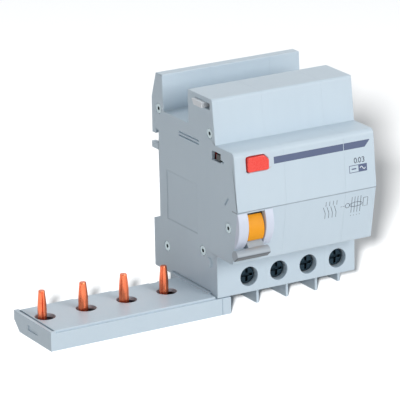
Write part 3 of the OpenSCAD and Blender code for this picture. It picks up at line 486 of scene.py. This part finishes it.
AXLE_Y_MM = -52.915
AXLE_Z_MM = -8.4
STEM_DOWN_DEG = 50.6
BAR_SHADE_REACH_MM = 13.2
# paints shade on the far side of the lever's cross bar
paint_bar_shade(finishes["grey_plastic"], AXLE_Y_MM, AXLE_Z_MM, STEM_DOWN_DEG, BAR_SHADE_REACH_MM, 0.35)
# near-black steel: the screws' colour also paints the shade deep in the terminal holes
screw_steel_hole_shade = metal("near_black_steel_hole_shade", (44, 60, 70), (6, 10, 14), 0.9, 0.34, 0.3)
for number in (1, 2, 3, 4):
    dress(frame["nodes"][f"terminal_screw_{number}"], screw_steel_hole_shade)
print("flat painted beyond", BAR_SHADE_REACH_MM, "mm from the lever's axle")

# %% [markdown]
# ## Painted light on the cheeks beside the lever
# Two raised cheeks guard the lever. They belong to the left casing and are painted paler than it: painted
# light, for the light that falls on their bulged fronts. The same material paints them by place: everything
# that stands in front of the nose's lower face plane is cheek, and that is a dot product of the Object
# position with the plane's normal.

# %% Paint light on the cheeks by place
CHEEK_PROUD = 0.12 * MM
CHEEK_TOP = -0.9 * MM
run = np.array([bottom_back, nose_bottom - crease_z])
face_out = np.array([run[1], -run[0]]) / np.hypot(*run)


def paint_cheek_light(material, pale, pale_shade):
    """Mixes a paler colour in as painted light where (position - crease) . normal is over a tenth of a
    millimetre.
    """
    tree = material.node_tree
    place_on = object_place(tree)
    from_crease_y = math_node(tree, "SUBTRACT", place_on.outputs["Y"], crease_y)
    from_crease_z = math_node(tree, "SUBTRACT", place_on.outputs["Z"], crease_z)
    in_y = math_node(tree, "MULTIPLY", from_crease_y, float(face_out[0]))
    ahead = math_node(tree, "MULTIPLY_ADD", from_crease_z, float(face_out[1]), in_y)
    proud = math_node(tree, "GREATER_THAN", ahead, CHEEK_PROUD)
    below = math_node(tree, "LESS_THAN", place_on.outputs["Z"], CHEEK_TOP)
    mask = math_node(tree, "MULTIPLY", proud, below)
    effect = [n for n in tree.nodes if n.type == "GROUP"][0]
    for key, colour in (("Color", pale), ("Shade", pale_shade)):
        socket = effect.inputs[key]
        tree.links.new(mix_colour(tree, mask, socket.default_value, colour), socket)


left_casing = plastic("left_casing_blue_grey", (205, 219, 229), (188, 204, 216), 0.40, 0.42, 0.14, 0.0, 0.15)
# painted light: the cheeks get a paler copy of the casing's tones
paint_cheek_light(left_casing, srgb(216, 222, 236), srgb(204, 211, 228))
print("cheek plane's normal (y, z):", np.round(face_out, 3))

# %% [markdown]
# ## The painted shadow line under the crease
# The nose's upper half ends in a lip that stands 0.3 mm proud of the lower half. Shadow falls under the lip
# and draws a thin grey line across the whole front. It is painted shadow, laid by height as a bell of half a
# millimetre round the foot of the lip, and only on the front, where y lies close to the crease.

# %% Paint the shadow under the crease
def paint_crease_shadow(material, grey, height_mm, half_width_mm):
    """Mixes grey in as painted shadow by exp(-((z - z0) / half width) ** 2) on everything within 4 mm of the
    front.
    """
    tree = material.node_tree
    place_on = object_place(tree)
    from_line = math_node(tree, "SUBTRACT", place_on.outputs["Z"], height_mm * MM)
    scaled = math_node(tree, "DIVIDE", from_line, half_width_mm * MM)
    squared = math_node(tree, "MULTIPLY", scaled, scaled)
    bell = math_node(tree, "EXPONENT", math_node(tree, "MULTIPLY", squared, -1.0))
    in_front = math_node(tree, "LESS_THAN", place_on.outputs["Y"], crease_y + 4 * MM)
    amount = math_node(tree, "MULTIPLY", math_node(tree, "MULTIPLY", bell, in_front), 0.75)
    shader = tree.nodes["Principled BSDF"]
    plain = shader.inputs["Base Color"].links[0].from_socket
    tree.links.new(mix_colour(tree, amount, plain, grey), shader.inputs["Base Color"])


# painted shadow: the grey of the line under the lip
crease_shadow_grey = srgb(112, 124, 138)
CREASE_MM = -0.72
CREASE_HALF_MM = 0.24
for material in (left_casing, finishes["casing"]):
    paint_crease_shadow(material, crease_shadow_grey, CREASE_MM, CREASE_HALF_MM)
print("crease line at z =", CREASE_MM, "mm")

# %% [markdown]
# ## Soft edges for the mouldings
# A moulded edge has a radius of a few tenths of a millimetre, and that thin bright line does more for realism
# than any texture. A CAD mesh is loose triangles, so a copy is welded, its flat triangles are joined into
# faces, and a Bevel modifier rounds each edge that turns by more than forty degrees. Where two slices of the
# casing meet, the edge keeps only a quarter of the radius, so that the joint stays a fine line.

# %% Soften the visible pieces
seam_planes = (middle_low[0], middle_high[0])
SEAM_SHARE = 0.25


def edge_share(edge):
    """How much of the radius an edge takes: none if nearly flat, a quarter along the joints of the slices."""
    if edge.calc_face_angle(0.0) < math.radians(40):
        return 0.0
    for plane in seam_planes:
        if all(abs(v.co.x - plane) < 0.01 * MM for v in edge.verts):
            return SEAM_SHARE
    return 1.0


def softened(node_name, piece_name, radius, material, body, segments=2):
    """A welded copy of a CAD node with bevelled edges, standing in for the node."""
    source = frame["nodes"][node_name]
    mesh = source.data.copy()
    mesh.name = piece_name
    work = bmesh.new()
    work.from_mesh(mesh)
    bmesh.ops.remove_doubles(work, verts=work.verts, dist=2e-6)
    bmesh.ops.dissolve_limit(work, angle_limit=math.radians(0.4), verts=work.verts, edges=work.edges)
    bmesh.ops.connect_verts_concave(work, faces=work.faces)
    share = work.edges.layers.float.new("bevel_weight_edge")
    for edge in work.edges:
        edge[share] = edge_share(edge)
    work.to_mesh(mesh)
    work.free()
    mesh.polygons.foreach_set("use_smooth", [True] * len(mesh.polygons))
    mesh.set_sharp_from_angle(angle=math.radians(32))
    piece = bpy.data.objects.new(piece_name, mesh)
    scene.collection.objects.link(piece)
    bevel = piece.modifiers.new("edge_radius", "BEVEL")
    bevel.width = radius
    bevel.segments = segments
    bevel.limit_method = "WEIGHT"
    bevel.use_clamp_overlap = False
    flat_faces = piece.modifiers.new("flat_faces", "WEIGHTED_NORMAL")
    flat_faces.mode = "FACE_AREA"
    flat_faces.weight = 100
    flat_faces.keep_sharp = True
    dress(piece, material)
    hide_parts(node_name)
    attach(piece, body)
    return piece


casing = finishes["casing"]
softened("left_shell", "casing_left", 0.22 * MM, left_casing, "block")
softened("middle_shell", "casing_middle", 0.22 * MM, casing, "block")
softened("right_shell", "casing_right", 0.22 * MM, casing, "block")
softened("wing_tray", "wing_lower_shell", 0.18 * MM, casing, "block")
softened("wing_cover", "wing_top_plate", 0.18 * MM, casing, "block")
softened("test_button", "button_red", 0.25 * MM, finishes["red_plastic"], "test_button", 3)
softened("reset_lever", "lever_grey", 0.20 * MM, finishes["grey_plastic"], "reset_lever", 3)
softened("trip_flag", "flag_orange", 0.15 * MM, finishes["orange_plastic"], "reset_lever")
softened("coupling_latch", "catch_white", 0.20 * MM, finishes["white_plastic"], "coupling_latch")
softened("rail_clip", "clip_black", 0.15 * MM, finishes["black_plastic"], "rail_clip")
for number in (1, 2, 3, 4):
    screw = f"terminal_screw_{number}"
    softened(screw, f"clamp_screw_{number}", 0.10 * MM, screw_steel_hole_shade, screw)

# %% [markdown]
# ## Surfaces from grids
# A new piece is worked out as a grid of points. Its faces join each point to the next in its row and in the
# next row, and a row may close on itself, as round a pin. The numbers of the corners come from one array that
# is shifted by a step, with no loop over points.

# %% Helpers for new pieces
def grid_mesh(name, points, closed_across=False):
    """A mesh from a grid of points, rows along the first index; the rows may close on themselves."""
    rows, columns = points.shape[:2]
    index = np.arange(rows * columns).reshape(rows, columns)
    following = np.roll(index, -1, axis=1)
    a, b = index[:-1], index[1:]
    c, d = following[1:], following[:-1]
    quads = np.stack([a, d, c, b], axis=-1)
    if not closed_across:
        quads = quads[:, :-1]
    mesh = bpy.data.meshes.new(name)
    mesh.from_pydata(points.reshape(-1, 3).tolist(), [], quads.reshape(-1, 4).tolist())
    return mesh


def add_piece(name, mesh, material, body, smooth=True):
    """Links a mesh as a piece that rides on a body and takes the given material."""
    mesh.polygons.foreach_set("use_smooth", [smooth] * len(mesh.polygons))
    dressed = bpy.data.objects.new(name, mesh)
    scene.collection.objects.link(dressed)
    dress(dressed, material)
    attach(dressed, body)
    return dressed


# %% [markdown]
# ## Rolled copper prongs
# Each prong is rolled from copper sheet: nearly round, with the sheet's two edges meeting in a groove, and
# squeezed to a narrower, flat-cut tip. It is a surface of revolution with a radius that depends on height,
# and a notch cut into that radius round one direction.

# %% Make the prongs
prong_copper = finishes["copper"]
groove_turns = {1: 250, 2: 190, 3: 300, 4: 215}


def prong_surface(centre, z_low, z_high, groove_at):
    """Radius = r(h) * (1 - g(angle) + f(angle)).

    r comes from a few heights, g is a narrow bell at the groove, and f makes the pin a little oval.
    """
    top_z = z_high - z_low
    heights = np.array([0.0, 0.02, 0.35, 0.62, 0.80, 0.93, 0.985, 1.0, 1.0]) * top_z
    radii = np.array([1.85, 1.88, 1.90, 1.86, 1.62, 1.40, 1.34, 1.22, 0.02]) * MM
    angle = np.linspace(0, 2 * np.pi, 72, endpoint=False)
    away = np.abs((angle - groove_at + np.pi) % (2 * np.pi) - np.pi)
    groove = 0.22 * np.exp(-(away / 0.10) ** 2)
    flat = 0.05 * np.cos(2 * (angle - groove_at))
    radius = radii[:, None] * (1 - groove[None, :] + flat[None, :])
    x = centre[0] + radius * np.cos(angle)
    y = centre[1] + radius * np.sin(angle)
    z = np.broadcast_to((z_low + heights)[:, None], x.shape)
    return np.stack([x, y, z], axis=-1)


FOOT_SIDE = 5.0 * MM
FOOT_HEIGHT = 2.2 * MM
for number in (1, 2, 3, 4):
    low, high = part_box(f"prong_{number}")
    centre = ((low[0] + high[0]) / 2, (low[1] + high[1]) / 2)
    groove_at = math.radians(groove_turns[number])
    around = prong_surface(centre, low[2] + 1.5 * MM, high[2], groove_at)
    surface = grid_mesh(f"prong_pin_{number}", around, True)
    surface.set_sharp_from_angle(angle=math.radians(50))
    pin = add_piece(f"prong_pin_{number}", surface, prong_copper, "block")
    foot = bmesh.new()
    bmesh.ops.create_cube(foot, size=1.0)
    bmesh.ops.scale(foot, vec=(FOOT_SIDE, FOOT_SIDE, FOOT_HEIGHT), verts=foot.verts)
    bmesh.ops.translate(foot, vec=(*centre, low[2] + FOOT_HEIGHT / 2), verts=foot.verts)
    bmesh.ops.bevel(foot, geom=foot.edges, offset=0.3 * MM, segments=2, affect="EDGES")
    foot_mesh = bpy.data.meshes.new(f"prong_foot_{number}")
    foot.to_mesh(foot_mesh)
    foot.free()
    add_piece(f"prong_foot_{number}", foot_mesh, prong_copper, "block", False)
    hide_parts(f"prong_{number}")
print("prong height above its foot:", round((high[2] - low[2]) / MM, 2), "mm")

# %% [markdown]
# ## Prints on the front
# The front carries pad-printed marks: a slate stripe, a rating, a type box and a small wiring diagram. All
# marks here are generic. A print is a film of ink, so each stroke is a ribbon laid on the face and given a
# few hundredths of a millimetre of thickness.

# %% Ribbons on the face
LIP = 0.3 * MM


def on_face(u, z, lift):
    """Points on the slanted front: y runs straight from the crease to the nose's top or bottom edge."""
    share_up = (z - crease_z) / (nose_top - crease_z)
    share_down = (z - crease_z + LIP) / (nose_bottom - crease_z + LIP)
    upper = share_up * top_back
    lower = LIP + share_down * (bottom_back - LIP)
    y = crease_y + np.where(z >= crease_z, upper, lower)
    return np.stack([block_left + u, y - lift, z], axis=-1)


INK_LIFT = 0.03 * MM


def ribbon(points, width):
    """A band of this width along a line of (u, z) points, its sides offset along the line's normals."""
    line = np.array(points, float) * MM
    along = np.gradient(line, axis=0)
    along /= np.linalg.norm(along, axis=1)[:, None]
    across = np.stack([-along[:, 1], along[:, 0]], axis=1) * width * MM / 2
    edges = np.stack([line + across, line - across], axis=1)
    return on_face(edges[..., 0], edges[..., 1], INK_LIFT)


def print_piece(name, bands, material):
    """Joins bands of ink into one mesh and gives the film its thickness towards the face."""
    vertices = []
    quads = []
    for band in bands:
        rows = len(band)
        start = sum(len(v) for v in vertices)
        vertices.append(band.reshape(-1, 3))
        first = start + 2 * np.arange(rows - 1)
        quads.append(np.stack([first, first + 1, first + 3, first + 2], axis=1))
    mesh = bpy.data.meshes.new(name)
    mesh.from_pydata(np.concatenate(vertices).tolist(), [], np.concatenate(quads).tolist())
    work = bmesh.new()
    work.from_mesh(mesh)
    for face in work.faces:
        face.normal_update()
        if face.normal.y > 0:
            face.normal_flip()
    work.to_mesh(mesh)
    work.free()
    piece = add_piece(name, mesh, material, "block", False)
    film = piece.modifiers.new("ink_film", "SOLIDIFY")
    film.thickness = 0.02 * MM
    film.offset = -1.0
    return piece


print("ink stands", round(INK_LIFT / MM, 2), "mm in front of the face")

# %% [markdown]
# ## The slate stripe
# The stripe runs across the upper face, has a fine gap where two slices of the casing meet, and ends in a
# slanted cut. It is two bands of ink. The lower edge of the second follows a ramp that starts at the cut.

# %% Lay the stripe
slate_ink = plastic("slate_ink", (86, 98, 130), (76, 88, 120), 0.3, 0.5, 0.05)
dark_ink = plastic("dark_ink", (70, 80, 96), (58, 68, 84), 0.3, 0.5, 0.05)

stripe_left = 17.5
stripe_right = 60.8
stripe_low = 15.9
stripe_high = 18.6
stripe_cut = 2.3
seam_tick = 48.95
stripe_steps = np.array([stripe_left, seam_tick - 0.12])
end_steps = np.array([seam_tick + 0.12, stripe_right - stripe_cut, stripe_right])


def stripe_band(steps):
    """Top edge level; bottom edge level up to the cut, then rising to the top edge at the stripe's end."""
    past_cut = np.clip((steps - (stripe_right - stripe_cut)) / stripe_cut, 0, 1)
    rise = past_cut * (stripe_high - stripe_low - 0.3)
    top = np.stack([steps, np.full(len(steps), stripe_high)], axis=1)
    bottom = np.stack([steps, stripe_low + rise], axis=1)
    both = np.stack([top, bottom], axis=1) * MM
    return on_face(both[..., 0], both[..., 1], INK_LIFT)


print_piece("print_stripe", [stripe_band(stripe_steps), stripe_band(end_steps)], slate_ink)
print("stripe length:", round(stripe_right - stripe_left, 1), "mm")

# %% [markdown]
# ## Rating figures
# The rating is drawn with plain figures. Each figure is a closed or open line made of arcs, so it can share
# the ribbon of the other prints.

# %% Draw the figures
def arc_line(centre, radii, start, stop, steps=20):
    """Points centre + (rx cos t, rz sin t) for t from start to stop, in degrees."""
    t = np.radians(np.linspace(start, stop, steps))
    return np.stack([centre[0] + radii[0] * np.cos(t), centre[1] + radii[1] * np.sin(t)], axis=1)


def zero(x, z, height):
    """One ellipse that closes on itself."""
    half = height / 2
    return [arc_line((x + 0.3 * height, z + half), (0.28 * height, half), 0, 360, 25)]


def three(x, z, height):
    """Two arcs that open to the left, one above the other."""
    half = height / 4
    centre = x + 0.26 * height
    upper = arc_line((centre, z + 3 * half), (0.27 * height, half), 150, -90, 16)
    lower = arc_line((centre, z + half), (0.29 * height, half), 90, -150, 16)
    return [upper, lower]


def dot(x, z):
    """A short stroke as wide as it is high."""
    return [np.array([(x, z), (x, z + 0.3)])]


figure_low = 10.2
figure_h = 1.9
figure_x = 53.4
step = 0.78 * figure_h
figures = zero(figure_x, figure_low, figure_h) + dot(figure_x + step + 0.05, figure_low)
figures += zero(figure_x + step + 0.45, figure_low, figure_h)
figures += three(figure_x + 2 * step + 0.55, figure_low, figure_h)
print_piece("print_rating", [ribbon(line, 0.34) for line in figures], dark_ink)

print("rating strokes:", len(figures))

# %% [markdown]
# ## The type box
# Under the rating stands a box in two halves: an outline with a bar, and a filled half with one period of a
# wave in pale ink. The wave lies a little in front of the filled half, as a second pass of the printer does.

# %% Draw the type box
box_left = 51.1
box_mid = 55.2
box_right = 59.1
box_low = 6.6
box_high = 9.3
frame_lines = [
    [(box_left, box_low), (box_left, box_high)],
    [(box_left - 0.12, box_low), (box_mid, box_low)],
    [(box_left - 0.12, box_high), (box_mid, box_high)]]
centre_z = (box_low + box_high) / 2
filled = [(box_mid, centre_z), (box_right, centre_z)]
mark = [(box_left + 1.0, centre_z), (box_mid - 1.0, centre_z)]
bars = [ribbon(line, 0.24) for line in frame_lines]
bars += [ribbon(filled, box_high - box_low + 0.24), ribbon(mark, 0.5)]
print_piece("print_type_box", bars, slate_ink)

wave_x = np.linspace(box_mid + 0.7, box_right - 0.7, 30)
wave_z = centre_z + 0.55 * np.sin((wave_x - wave_x[0]) / (wave_x[-1] - wave_x[0]) * 2 * np.pi)
wave = ribbon(np.stack([wave_x, wave_z], axis=1), 0.3)
wave[..., 1] -= 0.03 * MM
pale_ink = plastic("pale_ink", (226, 232, 238), (216, 223, 230), 0.3, 0.5, 0.05)
print_piece("print_wave", [wave], pale_ink)
print("type box:", round(box_right - box_left, 1), "by", round(box_high - box_low, 1), "mm")

# %% [markdown]
# ## The wiring diagram
# Four poles come in at the left through slanted switch blades, a dashed link joins them to the trip, and the
# four conductors pass through the ring. Loops draw what repeats.

# %% Draw the diagram
poles_x = 40.4 + 1.65 * np.arange(4)
diagram = []
for x in poles_x:
    diagram.append([(x, -3.3), (x, -5.2)])
    diagram.append([(x - 1.1, -5.5), (x, -8.2)])
    diagram.append([(x, -8.2), (x, -10.4)])
for x in np.arange(47.3, 49.4, 0.9):
    diagram.append([(x, -6.6), (x + 0.5, -6.6)])
diagram.append(arc_line((50.4, -6.6), (0.95, 0.95), 0, 360, 21))
ring_x = 52.3 + 1.35 * np.arange(4)
for x in ring_x:
    diagram.append([(x, -3.3), (x, -10.0)])
    diagram.append([(x, -11.0), (x, -11.35)])
diagram.append(arc_line((ring_x.mean(), -6.6), (2.9, 0.9), 0, 360, 31))
diagram.append([(57.6, -4.4), (59.6, -4.4), (59.6, -8.0), (57.6, -8.0), (57.6, -4.4)])
print_piece("print_diagram", [ribbon(line, 0.2) for line in diagram], dark_ink)
print("printed strokes:", len(diagram))
